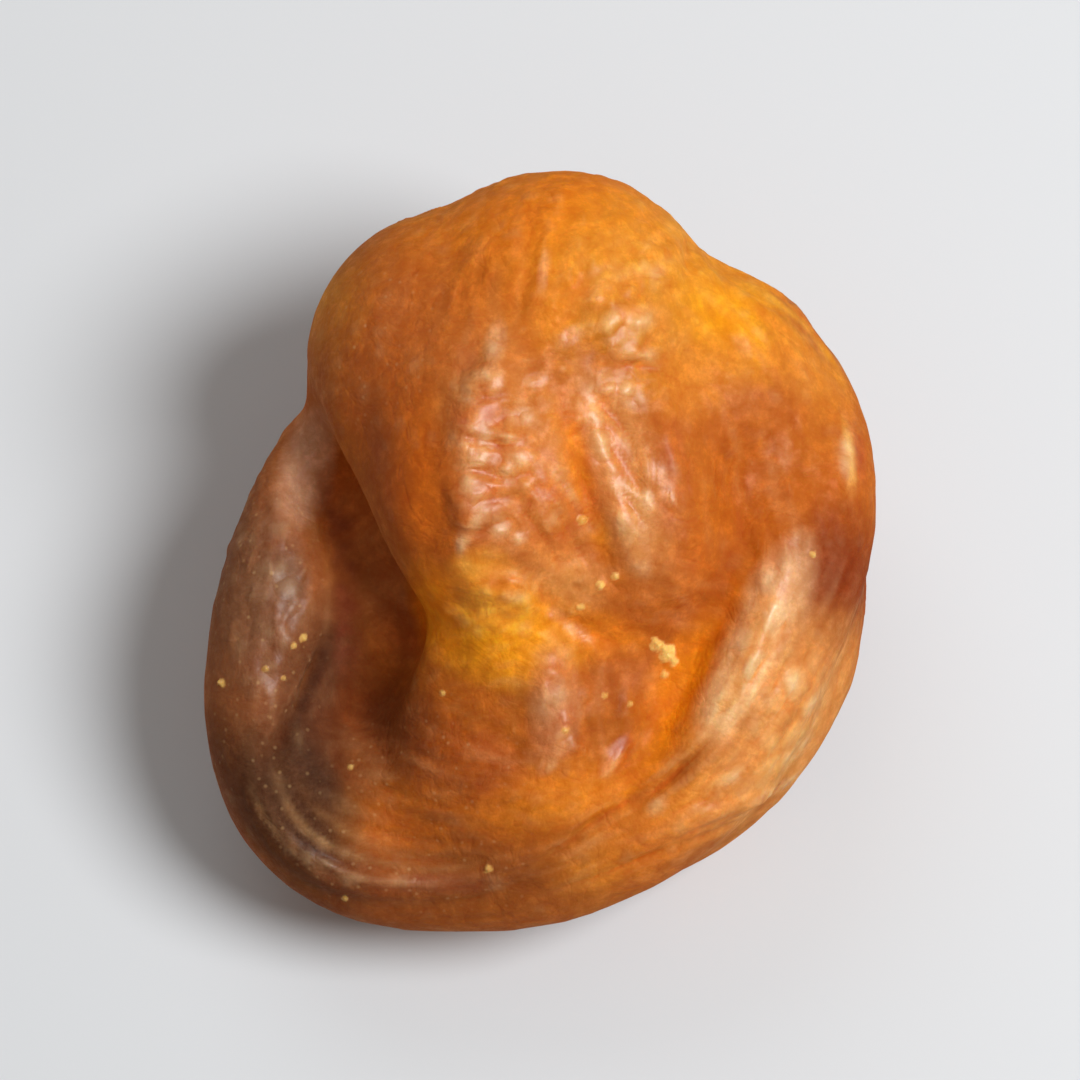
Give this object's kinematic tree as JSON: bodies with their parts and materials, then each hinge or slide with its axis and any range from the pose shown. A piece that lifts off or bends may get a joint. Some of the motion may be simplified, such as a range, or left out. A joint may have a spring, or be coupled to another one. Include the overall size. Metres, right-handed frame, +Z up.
{
  "type": "dried apricot",
  "caption": "Whole pitted dried apricot: wrinkled leathery skin, a domed end, a face folded in where the stone came out, resting on its flattened back.",
  "frame": {"origin": "middle of the fruit's bounding box, on the surface that it rests on", "axes": "+Y towards the domed end, +X to the right across the folded face, +Z up"},
  "size_m": [0.035, 0.0382, 0.0232],
  "materials": {
    "dried_skin": "translucent orange to brown dried fruit skin, wrinkled, soft satin gloss"
  },
  "bodies": {
    "root": {"apricot": "dried_skin"}
  },
  "joints": []
}
